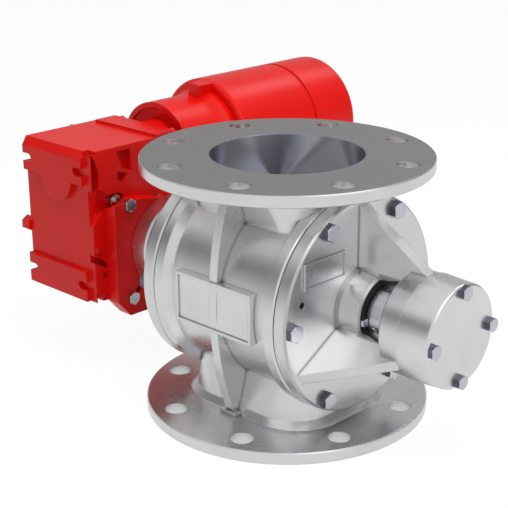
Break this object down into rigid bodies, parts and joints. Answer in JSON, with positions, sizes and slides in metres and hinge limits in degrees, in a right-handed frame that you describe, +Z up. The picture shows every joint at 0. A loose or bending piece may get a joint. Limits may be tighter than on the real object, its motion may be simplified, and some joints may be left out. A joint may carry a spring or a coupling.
{
  "type": "rotary airlock valve",
  "caption": "Rotary airlock valve with round inlet and outlet flanges, vaned rotor, outboard bearing and a red right-angle gearmotor on the drive side.",
  "frame": {"origin": "centre of the outlet flange's lower face", "axes": "+Z up through outlet and inlet, +X along the rotor toward the outboard bearing, +Y along the motor"},
  "size_m": [0.5407, 0.4585, 0.2769],
  "materials": {
    "cast_stainless": "satin casting",
    "machined_stainless": "machined",
    "bolt_stainless": "bright",
    "red_paint": "gloss red enamel",
    "black_rubber": "matte",
    "gasket": "matte",
    "bearing_steel": "ground",
    "gear_steel": "hobbed",
    "bronze": "machined",
    "copper_winding": "varnished",
    "core_iron": "laminated",
    "black_plastic": "moulded"
  },
  "bodies": {
    "valve_body": {"casing": "cast_stainless", "cover_gaskets": "gasket", "end_cover_outboard": "cast_stainless", "end_cover_drive": "cast_stainless", "cover_bolts_outboard": "bolt_stainless", "cover_bolts_drive": "bolt_stainless", "shaft_seal_outboard": "black_rubber", "shaft_seal_drive": "black_rubber", "rotor_bearing_outer_rings": "bearing_steel", "bearing_cap": "machined_stainless", "bearing_cap_bolts": "bolt_stainless", "torque_plate": "red_paint", "ring_screws": "bolt_stainless", "plate_bolts": "bolt_stainless", "plate_nuts": "bolt_stainless", "gearbox_housing": "red_paint", "gearbox_side_cover": "red_paint", "side_cover_screws": "bolt_stainless", "oil_seals": "black_rubber", "oil_plugs": "red_paint", "gear_shaft_bushes": "bronze", "output_bearing_outer_rings": "bearing_steel", "motor_adapter": "red_paint", "adapter_screws": "red_paint", "motor_bearing_outer_rings": "bearing_steel", "motor_stator": "core_iron", "motor_windings": "copper_winding", "motor_housing": "red_paint", "motor_rear_shield": "red_paint", "fan_cowl": "red_paint", "terminal_box": "red_paint", "terminal_box_lid": "red_paint", "lid_screws": "bolt_stainless", "cable_gland": "black_plastic"},
    "rotor_unit": {"rotor": "machined_stainless", "rotor_shaft": "machined_stainless", "shaft_circlip": "bearing_steel", "shaft_collar_outboard": "machined_stainless", "shaft_collar_drive": "machined_stainless", "rotor_bearing_inner_rings": "bearing_steel", "output_sleeve": "gear_steel", "output_key": "gear_steel", "output_wheel": "gear_steel", "output_wheel_key": "gear_steel", "output_bearing_inner_rings": "bearing_steel", "shaft_end_washer": "bolt_stainless", "shaft_end_screw": "bolt_stainless"},
    "rotor_balls": {"rotor_bearing_balls": "bearing_steel"},
    "output_balls": {"output_bearing_balls": "bearing_steel"},
    "cross_shaft_unit": {"cross_shaft": "gear_steel", "bevel_wheel": "gear_steel"},
    "bevel_pinion_unit": {"bevel_pinion_shaft": "gear_steel", "stage_wheel": "gear_steel"},
    "motor_shaft_unit": {"motor_pinion": "gear_steel", "motor_shaft": "gear_steel", "motor_rotor_core": "core_iron", "motor_bearing_inner_rings": "bearing_steel", "fan": "black_plastic"},
    "motor_balls": {"motor_bearing_balls": "bearing_steel"}
  },
  "joints": [
    {"name": "rotor_spin", "type": "hinge", "parent": "valve_body", "child": "rotor_unit", "pos_m": [0, 0, 0.13], "axis": [1, 0, 0], "continuous": true},
    {"name": "rotor_balls_spin", "type": "hinge", "parent": "valve_body", "child": "rotor_balls", "pos_m": [0, 0, 0.13], "axis": [1, 0, 0], "continuous": true},
    {"name": "output_balls_spin", "type": "hinge", "parent": "valve_body", "child": "output_balls", "pos_m": [0, 0, 0.13], "axis": [1, 0, 0], "continuous": true},
    {"name": "cross_shaft_spin", "type": "hinge", "parent": "valve_body", "child": "cross_shaft_unit", "pos_m": [-0.25, -0.03194, 0.176], "axis": [1, 0, 0], "continuous": true},
    {"name": "bevel_pinion_spin", "type": "hinge", "parent": "valve_body", "child": "bevel_pinion_unit", "pos_m": [-0.25, 0, 0.176], "axis": [0, 1, 0], "continuous": true},
    {"name": "motor_spin", "type": "hinge", "parent": "valve_body", "child": "motor_shaft_unit", "pos_m": [-0.25, 0.18, 0.206], "axis": [0, 1, 0], "continuous": true},
    {"name": "motor_balls_spin", "type": "hinge", "parent": "valve_body", "child": "motor_balls", "pos_m": [-0.25, 0.18, 0.206], "axis": [0, 1, 0], "continuous": true}
  ],
  "couplings": [
    {"joint": "rotor_balls_spin", "follows": "rotor_spin", "ratio": 0.4},
    {"joint": "output_balls_spin", "follows": "rotor_spin", "ratio": 0.43333},
    {"joint": "cross_shaft_spin", "follows": "rotor_spin", "ratio": -3},
    {"joint": "bevel_pinion_spin", "follows": "rotor_spin", "ratio": 9},
    {"joint": "motor_spin", "follows": "rotor_spin", "ratio": -29.571},
    {"joint": "motor_balls_spin", "follows": "rotor_spin", "ratio": -11.255}
  ]
}
